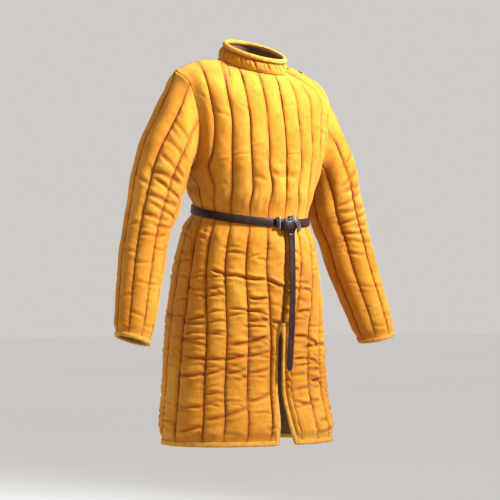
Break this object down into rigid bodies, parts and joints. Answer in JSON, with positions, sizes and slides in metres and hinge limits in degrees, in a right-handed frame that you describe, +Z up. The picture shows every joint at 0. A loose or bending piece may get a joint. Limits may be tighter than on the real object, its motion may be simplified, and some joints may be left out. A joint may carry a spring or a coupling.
{
  "type": "gambeson",
  "caption": "Quilted arming coat in its worn hollow form, with standing collar, long sleeves, front riding slit and a knotted leather belt.",
  "frame": {"origin": "on the neck's axis, level with the points where the shoulder seams meet the collar, where the wearer's shoulders hold the garment up", "axes": "+Z up, the front faces -Y, the wearer's left is +X"},
  "size_m": [0.86, 0.366, 1.0162],
  "materials": {
    "cloth": "matt linen canvas, quilted",
    "binding": "folded linen tape",
    "leather": "dark, soft sheen",
    "metal": "worn bright"
  },
  "bodies": {
    "root": {"front_left": "cloth", "front_right": "cloth", "back": "cloth", "sleeve_left": "cloth", "sleeve_right": "cloth", "collar": "cloth", "slit_binding_left": "binding", "slit_binding_right": "binding", "hem_binding_front_left": "binding", "hem_binding_front_right": "binding", "hem_binding_back": "binding", "cuff_binding_left": "binding", "cuff_binding_right": "binding", "collar_binding": "binding", "belt": "leather", "belt_keeper": "leather", "belt_knot": "leather", "belt_tail": "leather", "shoulder_tab_1": "leather", "shoulder_tab_2": "leather", "belt_buckle": "metal", "shoulder_stud_1": "metal", "shoulder_stud_2": "metal"}
  },
  "joints": []
}
